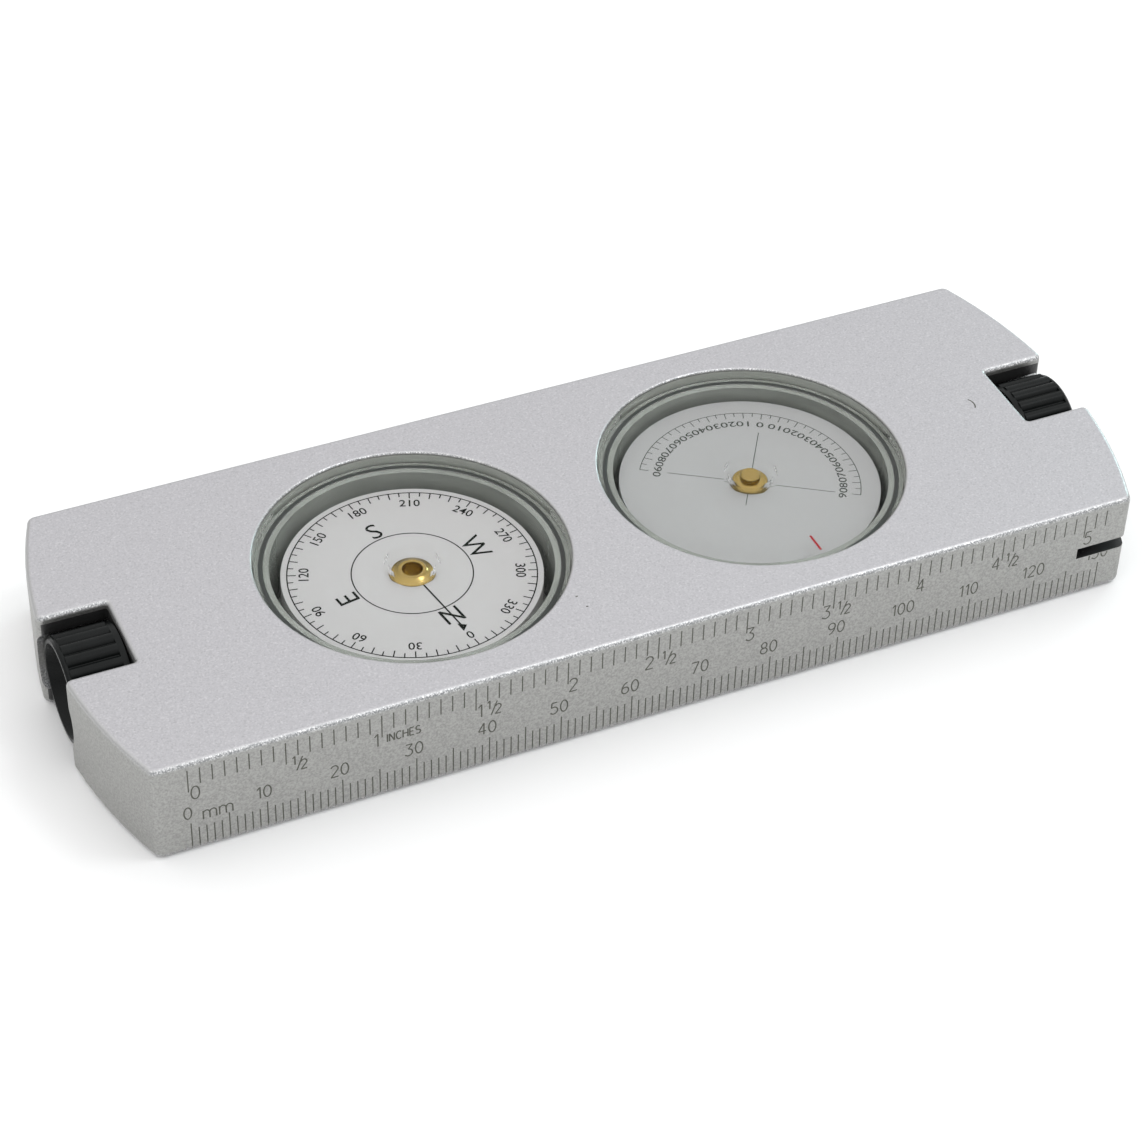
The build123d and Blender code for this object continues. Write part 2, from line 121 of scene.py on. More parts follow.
def new_group(name, inputs, outputs):
    """Empty shader node group with named float, colour or vector sockets."""
    group = bpy.data.node_groups.new(name, "ShaderNodeTree")
    for socket_name, kind, default in inputs:
        socket = group.interface.new_socket(socket_name, in_out="INPUT", socket_type=kind)
        if default is not None:
            socket.default_value = default
    for socket_name, kind in outputs:
        group.interface.new_socket(socket_name, in_out="OUTPUT", socket_type=kind)
    return group, group.nodes.new("NodeGroupInput"), group.nodes.new("NodeGroupOutput")


def math_node(tree, operation, first, second=None, clamp=False):
    """Math node whose inputs are sockets or numbers; gives its output socket."""
    node = tree.nodes.new("ShaderNodeMath")
    node.operation = operation
    node.use_clamp = clamp
    for slot_index, value in enumerate((first, second)):
        if value is None:
            continue
        if isinstance(value, (int, float)):
            node.inputs[slot_index].default_value = value
        else:
            tree.links.new(value, node.inputs[slot_index])
    return node.outputs[0]


def fine_grain_group():
    """Blasted or moulded skin: Height for a bump and Speckle as a mask, from one grain Size in metres."""
    group, start, end = new_group(
        "fine_grain",
        [("Vector", "NodeSocketVector", None), ("Size", "NodeSocketFloat", 0.0003)],
        [("Height", "NodeSocketFloat"), ("Speckle", "NodeSocketFloat")],
    )
    scale = math_node(group, "DIVIDE", 1.0, start.outputs["Size"])
    noise = group.nodes.new("ShaderNodeTexNoise")
    noise.inputs["Detail"].default_value = 2.0
    noise.inputs["Roughness"].default_value = 0.6
    cells = group.nodes.new("ShaderNodeTexVoronoi")
    for texture in (noise, cells):
        group.links.new(start.outputs["Vector"], texture.inputs["Vector"])
        group.links.new(scale, texture.inputs["Scale"])
    pits = math_node(group, "MULTIPLY", cells.outputs["Distance"], 0.6)
    height = math_node(group, "ADD", noise.outputs["Fac"], pits)
    group.links.new(height, end.inputs["Height"])
    speckle = math_node(group, "SUBTRACT", noise.outputs["Fac"], 0.5)
    speckle = math_node(group, "MULTIPLY_ADD", speckle, 3.0, clamp=True)
    speckle.node.inputs[2].default_value = 0.5
    group.links.new(speckle, end.inputs["Speckle"])
    return group


def rounded_edge_group():
    """Mask of rounded edges, Front for how far they face the ruler side, Level for how flat they lie."""
    group, start, end = new_group(
        "rounded_edge",
        [("Normal", "NodeSocketVector", None)],
        [("Mask", "NodeSocketFloat"), ("Front", "NodeSocketFloat"), ("Level", "NodeSocketFloat")],
    )
    parts = group.nodes.new("ShaderNodeSeparateXYZ")
    group.links.new(start.outputs["Normal"], parts.inputs[0])
    up = math_node(group, "MULTIPLY", parts.outputs["Z"], parts.outputs["Z"])
    out = math_node(group, "SUBTRACT", 1.0, up)
    both = math_node(group, "MULTIPLY", up, out)
    mask = math_node(group, "MULTIPLY", both, 5.0, clamp=True)
    group.links.new(mask, end.inputs["Mask"])
    group.links.new(up, end.inputs["Level"])
    front = math_node(group, "MULTIPLY", parts.outputs["Y"], -1.6, clamp=True)
    front = math_node(group, "POWER", front, 2.0)
    group.links.new(front, end.inputs["Front"])
    return group


def smudge_group():
    """Slow uneven patches, as handling leaves on a surface."""
    group, start, end = new_group(
        "smudges",
        [("Vector", "NodeSocketVector", None), ("Size", "NodeSocketFloat", 0.02)],
        [("Mask", "NodeSocketFloat")],
    )
    noise = group.nodes.new("ShaderNodeTexNoise")
    noise.inputs["Detail"].default_value = 4.0
    group.links.new(start.outputs["Vector"], noise.inputs["Vector"])
    group.links.new(math_node(group, "DIVIDE", 1.0, start.outputs["Size"]), noise.inputs["Scale"])
    group.links.new(noise.outputs["Fac"], end.inputs["Mask"])
    return group


def turned_group():
    """Lathe marks round an axis along Z through the vector's zero."""
    group, start, end = new_group(
        "turned_marks",
        [("Vector", "NodeSocketVector", None), ("Pitch", "NodeSocketFloat", 0.0001)],
        [("Height", "NodeSocketFloat")],
    )
    parts = group.nodes.new("ShaderNodeSeparateXYZ")
    group.links.new(start.outputs["Vector"], parts.inputs[0])
    square_x = math_node(group, "MULTIPLY", parts.outputs["X"], parts.outputs["X"])
    square_y = math_node(group, "MULTIPLY", parts.outputs["Y"], parts.outputs["Y"])
    radius = math_node(group, "SQRT", math_node(group, "ADD", square_x, square_y))
    along = math_node(group, "ADD", radius, parts.outputs["Z"])
    noise = group.nodes.new("ShaderNodeTexNoise")
    noise.noise_dimensions = "1D"
    noise.inputs["Detail"].default_value = 3.0
    group.links.new(math_node(group, "DIVIDE", along, start.outputs["Pitch"]), noise.inputs["W"])
    noise.inputs["Scale"].default_value = 1.0
    group.links.new(noise.outputs["Fac"], end.inputs["Height"])
    return group


GRAIN = fine_grain_group()
EDGES = rounded_edge_group()
SMUDGES = smudge_group()
TURNED = turned_group()


class Finish:
    """A material under construction: its tree, its Principled shader and its Object coordinates."""

    def __init__(self, name, colour, roughness, metallic=0.0):
        self.material = bpy.data.materials.new(name)
        self.material.use_nodes = True
        self.tree = self.material.node_tree
        self.shader = self.tree.nodes["Principled BSDF"]
        self.shader.inputs["Base Color"].default_value = (*colour, 1)
        self.shader.inputs["Roughness"].default_value = roughness
        self.shader.inputs["Metallic"].default_value = metallic
        coordinates = self.tree.nodes.new("ShaderNodeTexCoord")
        self.place = coordinates.outputs["Object"]
        self.facing = coordinates.outputs["Normal"]

    def group(self, group, **inputs):
        """Places a shared group with its own input values or sockets."""
        node = self.tree.nodes.new("ShaderNodeGroup")
        node.node_tree = group
        for name, value in inputs.items():
            socket = node.inputs[name]
            if isinstance(value, (int, float)):
                socket.default_value = value
            else:
                self.tree.links.new(value, socket)
        return node.outputs

    def centred(self, point):
        """Object coordinates with their zero moved to a point."""
        shift = self.tree.nodes.new("ShaderNodeMapping")
        shift.vector_type = "TEXTURE"
        shift.inputs["Location"].default_value = point
        self.tree.links.new(self.place, shift.inputs["Vector"])
        return shift.outputs["Vector"]

    def mix_colour(self, factor, first, second):
        """Colour between two colours, or sockets, by a mask."""
        node = self.tree.nodes.new("ShaderNodeMix")
        node.data_type = "RGBA"
        self.tree.links.new(factor, node.inputs["Factor"])
        for socket, value in ((node.inputs[6], first), (node.inputs[7], second)):
            if isinstance(value, tuple):
                socket.default_value = (*value, 1)
            else:
                self.tree.links.new(value, socket)
        return node.outputs[2]

    def between(self, factor, low, high):
        """Number between low and high by a mask."""
        node = self.tree.nodes.new("ShaderNodeMapRange")
        node.inputs["To Min"].default_value = low
        node.inputs["To Max"].default_value = high
        self.tree.links.new(factor, node.inputs["Value"])
        return node.outputs[0]

    def within(self, value, low, high):
        """One where a value lies between low and high, else nothing."""
        above = math_node(self.tree, "GREATER_THAN", value, low)
        below = math_node(self.tree, "LESS_THAN", value, high)
        return math_node(self.tree, "MULTIPLY", above, below)

    def inside_notch(self, parts, height):
        """One on the walls of the two end notches, below their rounded mouths."""
        out = math_node(self.tree, "ABSOLUTE", parts.outputs["X"])
        across = math_node(self.tree, "ABSOLUTE", parts.outputs["Y"])
        past = math_node(self.tree, "GREATER_THAN", out, NOTCH_WALL)
        between = math_node(self.tree, "LESS_THAN", across, NOTCH_HALF_WIDTH)
        inner = math_node(self.tree, "MULTIPLY", past, between)
        return math_node(self.tree, "MULTIPLY", inner, self.within(height, 0, TOP - NOTCH_MOUTH))

    def inside_bore(self, height, centre):
        """One on the wall of a capsule's bore, below its rounded rim."""
        away = self.tree.nodes.new("ShaderNodeVectorMath")
        away.operation = "DISTANCE"
        flattened = self.centred((0, 0, 0))
        flattened.node.vector_type = "POINT"
        flattened.node.inputs["Scale"].default_value = (1, 1, 0)
        self.tree.links.new(flattened, away.inputs[0])
        away.inputs[1].default_value = (centre.x, centre.y, 0)
        near = math_node(self.tree, "LESS_THAN", away.outputs["Value"], BORE_RADIUS + BORE_REACH)
        wall = self.within(height, BORE_FOOT, TOP - BORE_RIM)
        return math_node(self.tree, "MULTIPLY", near, wall)

    def feed(self, socket_name, value):
        """Links a socket of the Principled shader."""
        self.tree.links.new(value, self.shader.inputs[socket_name])

    def bump(self, height, strength, distance):
        """Bump from a height mask, feeding the shader's normal."""
        node = self.tree.nodes.new("ShaderNodeBump")
        node.inputs["Strength"].default_value = strength
        node.inputs["Distance"].default_value = distance
        self.tree.links.new(height, node.inputs["Height"])
        self.feed("Normal", node.outputs["Normal"])

    def lets_lamps_through(self):
        """Clear piece: shadow rays pass, so that what is behind it is lit."""
        nodes = self.tree.nodes
        mixer = nodes.new("ShaderNodeMixShader")
        path = nodes.new("ShaderNodeLightPath")
        clear = nodes.new("ShaderNodeBsdfTransparent")
        self.tree.links.new(path.outputs["Is Shadow Ray"], mixer.inputs["Fac"])
        self.tree.links.new(self.shader.outputs["BSDF"], mixer.inputs[1])
        self.tree.links.new(clear.outputs["BSDF"], mixer.inputs[2])
        self.tree.links.new(mixer.outputs["Shader"], nodes["Material Output"].inputs["Surface"])


# ---------------------------------------------------------------- materials

def blasted_aluminium():
    """Bead-blasted, clear anodised block. Painted highlights make its rounded edges brighter and
    sparkling, its top is painted lighter than its sides, shade is painted into its hollows and notches,
    and light is painted onto its bore walls.
    """
    metal = Finish("blasted_aluminium", (0.55, 0.54, 0.56), 0.5, 0.95)
    parts = metal.tree.nodes.new("ShaderNodeSeparateXYZ")
    metal.tree.links.new(metal.place, parts.inputs[0])
    height = parts.outputs["Z"]
    inside = metal.within(height, HOLLOW_FOOT, TOP - HOLLOW_ROOF)
    grain = metal.group(GRAIN, Vector=metal.place, Size=0.00028)
    coarse = metal.group(GRAIN, Vector=metal.place, Size=0.00042)
    masks = metal.group(EDGES, Normal=metal.facing)
    # Painted light: the top is painted lighter and more lavender, and the sides darker and greener, as
    # the overhead light falls on them.
    top = metal.mix_colour(grain["Speckle"], (0.42, 0.415, 0.43), (0.6, 0.59, 0.61))
    top = metal.mix_colour(coarse["Speckle"], top, (0.505, 0.497, 0.517))
    side = metal.mix_colour(grain["Speckle"], (0.33, 0.33, 0.32), (0.45, 0.45, 0.437))
    flat = metal.mix_colour(masks["Level"], side, top)
    # Painted highlights: white glints and dark reflected specks painted on the rounded edges that face
    # the ruler side, where the overhead lamp catches them.
    sparkle = metal.group(GRAIN, Vector=metal.place, Size=0.00022)["Speckle"]
    sparkle = math_node(metal.tree, "POWER", sparkle, 2.0)
    painted_glints = metal.mix_colour(sparkle, (0.26, 0.27, 0.28), (1.0, 1.0, 1.0))
    edge = metal.mix_colour(masks["Front"], (0.5, 0.5, 0.5), painted_glints)
    # Painted shade: level faces inside the block, such as the slot and bore floors, are painted nearly
    # black.
    painted_hollow_shade = math_node(metal.tree, "MULTIPLY", inside, masks["Level"])
    flat = metal.mix_colour(painted_hollow_shade, flat, (0.08, 0.08, 0.08))
    # Painted shade: the end notches below their rounded mouths are painted nearly black.
    flat = metal.mix_colour(metal.inside_notch(parts, height), flat, (0.1, 0.1, 0.1))
    # Painted light: the bore walls behind the cups are painted pale and greenish, standing in for the
    # light reflected in the clear cup walls.
    for centre in (COMPASS_CENTRE, CLINOMETER_CENTRE):
        flat = metal.mix_colour(metal.inside_bore(height, centre), flat, (0.72, 0.74, 0.7))
    rounded = math_node(metal.tree, "MULTIPLY", masks["Mask"], 0.9)
    metal.feed("Base Color", metal.mix_colour(rounded, flat, edge))
    metal.feed("Roughness", metal.between(masks["Mask"], 0.52, 0.38))
    metal.bump(grain["Height"], 0.6, 0.00004)
    return metal.material


def brushed_plate():
    """Base plate, brushed along its length."""
    metal = Finish("brushed_plate", (0.5, 0.5, 0.51), 0.35, 1.0)
    stretched = metal.centred((0, 0, 0))
    stretched.node.inputs["Scale"].default_value = (30, 1, 1)
    grain = metal.group(GRAIN, Vector=stretched, Size=0.0004)
    metal.feed("Roughness", metal.between(grain["Speckle"], 0.28, 0.46))
    metal.bump(grain["Height"], 0.3, 0.00002)
    return metal.material


def bright_steel():
    """Turned steel of screws and pins."""
    metal = Finish("bright_steel", (0.62, 0.62, 0.63), 0.25, 1.0)
    smudge = metal.group(SMUDGES, Vector=metal.place, Size=0.0006)
    metal.feed("Roughness", metal.between(smudge["Mask"], 0.16, 0.36))
    return metal.material


def magnet_metal():
    """Nickel-plated sintered magnets."""
    metal = Finish("magnet_metal", (0.36, 0.36, 0.37), 0.4, 1.0)
    grain = metal.group(GRAIN, Vector=metal.place, Size=0.0002)
    metal.feed("Roughness", metal.between(grain["Speckle"], 0.3, 0.5))
    return metal.material


def polished_brass(name, centre):
    """Turned and polished brass, with lathe marks round its own axis."""
    metal = Finish(name, (0.6, 0.42, 0.14), 0.2, 1.0)
    marks = metal.group(TURNED, Vector=metal.centred(centre), Pitch=0.00012)["Height"]
    metal.feed("Base Color", metal.mix_colour(marks, (0.5, 0.37, 0.14), (0.17, 0.12, 0.035)))
    metal.feed("Roughness", metal.between(marks, 0.12, 0.3))
    metal.bump(marks, 0.4, 0.00004)
    return metal.material


def window_acrylic():
    """Polished clear window. The filled capsule under it takes away most of its bend and shine."""
    clear = Finish("window_acrylic", (0.985, 0.985, 0.98), 0.0)
    clear.shader.inputs["Transmission Weight"].default_value = 1.0
    clear.shader.inputs["IOR"].default_value = 1.07
    smudge = clear.group(SMUDGES, Vector=clear.place, Size=0.006)
    clear.feed("Roughness", clear.between(smudge["Mask"], 0.0, 0.03))
    clear.lets_lamps_through()
    return clear.material


def cup_acrylic():
    """Moulded cup, greenish and cloudy along its wall, with painted reflections as slow light and dark
    streaks round it.
    """
    clear = Finish("cup_acrylic", (0.5, 0.52, 0.49), 0.1)
    clear.shader.inputs["Transmission Weight"].default_value = 0.45
    clear.shader.inputs["IOR"].default_value = 1.3
    layered = clear.centred((0, 0, 0))
    layered.node.inputs["Scale"].default_value = (6.0, 6.0, 1.0)
    # Painted reflections: slow light and dark streaks round the wall, which the roughness follows too.
    reflection_streak = clear.group(SMUDGES, Vector=layered, Size=0.0022)["Mask"]
    clear.feed("Base Color", clear.mix_colour(reflection_streak, (0.14, 0.15, 0.135), (0.45, 0.475, 0.44)))
    clear.feed("Roughness", clear.between(reflection_streak, 0.05, 0.2))
    clear.lets_lamps_through()
    return clear.material


def lens_glass():
    """Coated lens glass."""
    glass = Finish("lens_glass", (0.95, 0.97, 0.98), 0.0)
    glass.shader.inputs["Transmission Weight"].default_value = 1.0
    glass.shader.inputs["IOR"].default_value = 1.52
    smudge = glass.group(SMUDGES, Vector=glass.place, Size=0.004)
    glass.feed("Roughness", glass.between(smudge["Mask"], 0.0, 0.03))
    glass.lets_lamps_through()
    return glass.material


def jewel_stone():
    """Polished synthetic ruby."""
    stone = Finish("jewel_stone", (0.5, 0.05, 0.1), 0.05)
    stone.shader.inputs["IOR"].default_value = 1.76
    smudge = stone.group(SMUDGES, Vector=stone.place, Size=0.0005)
    stone.feed("Roughness", stone.between(smudge["Mask"], 0.02, 0.1))
    return stone.material


def seal_rubber():
    """Smooth grey silicone."""
    rubber = Finish("seal_rubber", (0.3, 0.31, 0.3), 0.55)
    grain = rubber.group(GRAIN, Vector=rubber.place, Size=0.0003)
    rubber.feed("Roughness", rubber.between(grain["Speckle"], 0.48, 0.62))
    return rubber.material


def card_face(name, pale, shade):
    """Matt printed card."""
    card = Finish(name, pale, 0.6)
    grain = card.group(GRAIN, Vector=card.place, Size=0.0002)
    smudge = card.group(SMUDGES, Vector=card.place, Size=0.012)
    colour = card.mix_colour(grain["Speckle"], pale, shade)
    card.feed("Base Color", colour)
    card.feed("Roughness", card.between(smudge["Mask"], 0.5, 0.7))
    return card.material


def ribbed_black():
    """Moulded black plastic of the focus rings, greyer where it is rubbed."""
    plastic = Finish("ribbed_black", (0.006, 0.007, 0.007), 0.45)
    plastic.shader.inputs["Specular IOR Level"].default_value = 0.16
    grain = plastic.group(GRAIN, Vector=plastic.place, Size=0.00022)
    smudge = plastic.group(SMUDGES, Vector=plastic.place, Size=0.0025)
    rubbed = plastic.mix_colour(smudge["Mask"], (0.001, 0.0015, 0.0015), (0.007, 0.0085, 0.0085))
    plastic.feed("Base Color", rubbed)
    plastic.feed("Roughness", plastic.between(grain["Speckle"], 0.26, 0.4))
    plastic.bump(grain["Height"], 0.25, 0.00002)
    return plastic.material


def cell_black():
    """Black anodised lens cell."""
    metal = Finish("cell_black", (0.012, 0.012, 0.013), 0.45)
    metal.shader.inputs["Specular IOR Level"].default_value = 0.2
    grain = metal.group(GRAIN, Vector=metal.place, Size=0.0002)
    metal.feed("Roughness", metal.between(grain["Speckle"], 0.34, 0.5))
    return metal.material


def scale_fill():
    """Dark fill of the engraved scale, worn thin in places."""
    fill = Finish("scale_fill", (0.07, 0.07, 0.055), 0.6)
    smudge = fill.group(SMUDGES, Vector=fill.place, Size=0.0006)
    fill.feed("Base Color", fill.mix_colour(smudge["Mask"], (0.03, 0.032, 0.024), (0.11, 0.11, 0.09)))
    return fill.material


def card_ink(name, colour):
    """Ink printed on a card."""
    ink = Finish(name, colour, 0.6)
    ink.shader.inputs["Specular IOR Level"].default_value = 0.08
    grain = ink.group(GRAIN, Vector=ink.place, Size=0.00015)
    pale = tuple(1.5 * part for part in colour)
    ink.feed("Base Color", ink.mix_colour(grain["Speckle"], colour, pale))
    return ink.material


def dress_frame():
    """Gives every carried-over node its finish."""
    brass = {name: polished_brass(f"brass_{name}", centre) for name, centre in
             (("compass", COMPASS_CENTRE), ("clinometer", CLINOMETER_CENTRE))}
    steel = bright_steel()
    cup = cup_acrylic()
    window = window_acrylic()
    rubber = seal_rubber()
    black = ribbed_black()
    cell = cell_black()
    lens = lens_glass()
    finishes = {
        "body_block": blasted_aluminium(),
        "base_plate": brushed_plate(),
        "base_screws": steel,
        "lanyard_pin": steel,
        "compass_card": card_face("compass_card_face", (0.375, 0.37, 0.37), (0.35, 0.345, 0.345)),
        "clinometer_card": card_face(
            "clinometer_card_face", (0.285, 0.286, 0.286), (0.265, 0.266, 0.266)
        ),
        "compass_magnets": magnet_metal(),
        "compass_hub": brass["compass"],
        "compass_jewel": jewel_stone(),
        "compass_pivot": steel,
        "compass_pivot_socket": brass["compass"],
        "clinometer_weight": brass["clinometer"],
        "clinometer_hub": brass["clinometer"],
        "clinometer_axle": steel,
        "clinometer_axle_socket": brass["clinometer"],
    }
    for name in ("compass", "clinometer"):
        finishes[f"{name}_capsule_cup"] = cup
        finishes[f"{name}_window"] = window
        finishes[f"{name}_seal"] = rubber
        finishes[f"{name}_focus_ring"] = black
        finishes[f"{name}_retaining_ring"] = steel
        finishes[f"{name}_eyepiece_sleeve"] = brass[name]
        finishes[f"{name}_lens_cell"] = cell
        finishes[f"{name}_lens_ring"] = cell
        finishes[f"{name}_eye_lens"] = lens
        finishes[f"{name}_guide_pin"] = steel
    for node, material in finishes.items():
        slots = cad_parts[node].data.materials
        slots.clear()
        slots.append(material)


# ---------------------------------------------------------------- printed and engraved marks

def arc(centre_x, centre_y, radius_x, radius_y, start, end, steps=12):
    """Points along part of an ellipse, angles in degrees."""
    turns = [math.radians(start + (end - start) * i / steps) for i in range(steps + 1)]
    return [(centre_x + radius_x * math.cos(t), centre_y + radius_y * math.sin(t)) for t in turns]


def circle(radius, steps=144):
    """Closed circle as a stroke."""
    return arc(0, 0, radius, radius, 0, 360, steps)


def engraved_glyphs():
    """Single-line characters, each (width, strokes), one unit high."""
    return {
        "0": (0.5, [arc(0.25, 0.5, 0.25, 0.5, 0, 360, 24)]),
        "1": (0.24, [[(0, 0.78), (0.2, 1), (0.2, 0)]]),
        "2": (0.5, [arc(0.25, 0.74, 0.24, 0.26, 165, -30) + [(0, 0), (0.5, 0)]]),
        "3": (0.5, [[(0.03, 1), (0.48, 1), (0.2, 0.6)] + arc(0.22, 0.3, 0.27, 0.3, 90, -150)]),
        "4": (0.52, [[(0.38, 0), (0.38, 1), (0, 0.3), (0.52, 0.3)]]),
        "5": (0.5, [[(0.45, 1), (0.08, 1), (0.04, 0.56)] + arc(0.22, 0.31, 0.27, 0.31, 115, -150)]),
        "6": (0.5, [arc(0.25, 0.29, 0.25, 0.29, 0, 360, 20), arc(0.5, 0.29, 0.5, 0.71, 100, 180)]),
        "7": (0.5, [[(0, 1), (0.5, 1), (0.15, 0)]]),
        "8": (0.5, [arc(0.25, 0.75, 0.2, 0.25, 0, 360, 20), arc(0.25, 0.25, 0.25, 0.25, 0, 360, 20)]),
        "9": (0.5, [arc(0.25, 0.71, 0.25, 0.29, 0, 360, 20), arc(0, 0.71, 0.5, 0.71, 0, -80)]),
        "/": (0.4, [[(0, 0), (0.4, 1)]]),
        "m": (0.86, [
            [(0, 0), (0, 0.72)],
            arc(0.215, 0.48, 0.215, 0.24, 180, 0) + [(0.43, 0)],
            arc(0.645, 0.48, 0.215, 0.24, 180, 0) + [(0.86, 0)],
        ]),
        "I": (0.02, [[(0, 0), (0, 1)]]),
        "N": (0.5, [[(0, 0), (0, 1), (0.5, 0), (0.5, 1)]]),
        "C": (0.5, [arc(0.3, 0.5, 0.3, 0.5, 50, 310, 16)]),
        "H": (0.5, [[(0, 0), (0, 1)], [(0.5, 0), (0.5, 1)], [(0, 0.52), (0.5, 0.52)]]),
        "E": (0.42, [[(0.42, 1), (0, 1), (0, 0), (0.42, 0)], [(0, 0.52), (0.36, 0.52)]]),
        "S": (0.48, [arc(0.24, 0.75, 0.22, 0.25, 40, 270) + arc(0.24, 0.25, 0.24, 0.25, 90, -140)]),
    }


GLYPHS = engraved_glyphs()
GLYPH_GAP = 0.2


def written(text, height, left, foot):
    """Strokes of a word in single-line characters, from its lower left corner."""
    strokes = []
    pen = left
    for character in text:
        width, lines = GLYPHS[character]
        strokes += [[(pen + height * u, foot + height * v) for u, v in line] for line in lines]
        pen += height * (width + GLYPH_GAP)
    return strokes


def word_width(text, height):
    """Width of a word in single-line characters."""
    return height * (sum(GLYPHS[c][0] for c in text) + GLYPH_GAP * (len(text) - 1))


def piece_from(name, mesh, body, material):
    """Finished piece with its place in its mesh, riding on a body."""
    for face in mesh.polygons:
        face.use_smooth = False
    mesh.materials.clear()
    mesh.materials.append(material)
    piece = bpy.data.objects.new(name, mesh)
    bpy.context.scene.collection.objects.link(piece)
    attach(piece, body)
    return piece


SHARP_TURN = math.radians(50)


def unpinched(stroke):
    """A stroke split at its sharp corners, where a single line would pinch thin."""
    runs = [[stroke[0]]]
    for before, corner, after in zip(stroke, stroke[1:], stroke[2:]):
        runs[-1].append(corner)
        arriving = Vector(corner) - Vector(before)
        leaving = Vector(after) - Vector(corner)
        if arriving.angle(leaving, 0.0) > SHARP_TURN:
            runs.append([corner])
    runs[-1].append(stroke[-1])
    return runs


def drawn_lines(name, strokes, line_width, place):
    """Mesh of thin flat lines drawn in a plane. place carries the plane to the frame."""
    curve = bpy.data.curves.new(name, "CURVE")
    curve.dimensions = "3D"
    curve.bevel_depth = line_width / 2
    curve.bevel_resolution = 0
    curve.use_fill_caps = True
    curve.twist_mode = "Z_UP"
    for stroke in [run for stroke in strokes for run in unpinched(stroke)]:
        closed = len(stroke) > 2 and math.dist(stroke[0], stroke[-1]) < 1e-9
        points = stroke[:-1] if closed else stroke
        spline = curve.splines.new("POLY")
        spline.points.add(len(points) - 1)
        for point, (u, v) in zip(spline.points, points):
            point.co = (u, v, 0, 1)
        spline.use_cyclic_u = closed
    holder = bpy.data.objects.new(name, curve)
    mesh = bpy.data.meshes.new_from_object(holder)
    flatten = Matrix.Diagonal((1, 1, 2 * INLAY / line_width, 1))
    mesh.transform(place @ flatten)
    bpy.data.objects.remove(holder)
    bpy.data.curves.remove(curve)
    return mesh


CAPITAL_HEIGHT = 0.73        # of the typeface's size


def printed_words(name, words, place, stretch=1.0):
    """Mesh of words in a plain typeface, stretched along their lines, round a dial.

    Each word is its text, height, stroke weight, bearing, radius and whether its top is outwards.
    """
    made = bmesh.new()
    for text, height, weight, bearing, radius, outwards in words:
        curve = bpy.data.curves.new(name, "FONT")
        curve.body = text
        curve.size = height / CAPITAL_HEIGHT
        curve.align_x = "CENTER"
        curve.extrude = INLAY / 2
        curve.offset = weight * height
        curve.resolution_u = 3
        holder = bpy.data.objects.new(name, curve)
        mesh = bpy.data.meshes.new_from_object(holder)
        turn = math.radians(bearing - 90 if outwards else bearing + 90)
        stand = Matrix.Rotation(turn, 4, "Z") @ Matrix.Translation((0, -height / 2, 0))
        stand = stand @ Matrix.Diagonal((stretch, 1, 1, 1))
        spot = Vector((math.cos(math.radians(bearing)), math.sin(math.radians(bearing)), 0)) * radius
        mesh.transform(place @ Matrix.Translation(spot) @ stand)
        made.from_mesh(mesh)
        bpy.data.meshes.remove(mesh)
        bpy.data.objects.remove(holder)
        bpy.data.curves.remove(curve)
    joined = bpy.data.meshes.new(name)
    made.to_mesh(joined)
    made.free()
    return joined


# The ruler plane: u along +X, v up, and its front towards -Y.
RULER_PLANE = Matrix.Translation((0, RULER_FACE, 0)) @ Matrix.Rotation(math.radians(90), 4, "X")


def card_plane(centre):
    """Plane of a card's top face."""
    return Matrix.Translation((centre.x, centre.y, CARD_TOP + INLAY / 2))


def ruler_ticks():
    """Millimetre ticks from the lower edge and sixteenths of an inch from the upper edge."""
    strokes = []
    for i in range(MM_TICKS + 1):
        tick_top = MM_TICK_SHORT if i % 5 else MM_TICK_LONG
        x = RULER_ZERO + i * MM
        heights = (MM_TICK_FOOT, 0.75 * UNDERSIDE_ROUND, UNDERSIDE_ROUND, tick_top)
        strokes.append([(x, height) for height in heights])
    for i in range(INCH_TICKS + 1):
        length = INCH_TICK_SHORT if i % 8 else INCH_TICK_LONG
        x = RULER_ZERO + i * INCH / 16
        strokes.append([(x, INCH_TICK_TOP), (x, INCH_TICK_TOP - length)])
    mesh = drawn_lines("ruler_ticks", strokes, TICK_WIDTH, RULER_PLANE)
    for vertex in mesh.vertices:
        drop = UNDERSIDE_ROUND - vertex.co.z
        if drop > 0:
            vertex.co.y += UNDERSIDE_ROUND - math.sqrt(UNDERSIDE_ROUND ** 2 - drop ** 2)
    return mesh


MM_NUMBER_HEIGHT = 1.95 * MM
MM_NUMBER_FOOT = 5.85 * MM
MM_NUMBER_SHIFT = -0.35 * MM  # from its tick to the middle of the number
SLOT_FOOT = 6.65 * MM         # just under the lanyard slot
MM_WORD_HEIGHT = 2.0 * MM
MM_WORD_FOOT = 5.1 * MM
INCH_NUMBER_HEIGHT = 2.15 * MM
INCH_NUMBER_FOOT = 9.0 * MM
INCH_WORD_HEIGHT = 1.3 * MM
INCH_WORD_FOOT = 9.35 * MM
# Where each inch number, each half and each number before a half stands from its long tick,
# in millimetres, as the engraver spaced them.
INCH_NUMBER_SHIFTS = (0.85, -0.75, 0.75, 0.55, 0.35, 0.7)
HALF_SHIFTS = (1.0, 1.75, 0.8, 0.85, 0.85)
HALF_NUMBER_SHIFTS = (None, 0.6, -1.25, -1.0, -0.85)


def half_mark(left):
    """The fraction one half, its figures staggered about a long slash."""
    foot = INCH_NUMBER_FOOT
    low = foot - 0.1 * MM
    strokes = written("1", 1.45 * MM, left - 0.15 * MM, foot + 0.95 * MM)
    strokes.append([(left + 0.35 * MM, low), (left + 1.15 * MM, foot + 2.1 * MM)])
    return strokes + written("2", 1.6 * MM, left + 0.9 * MM, low)


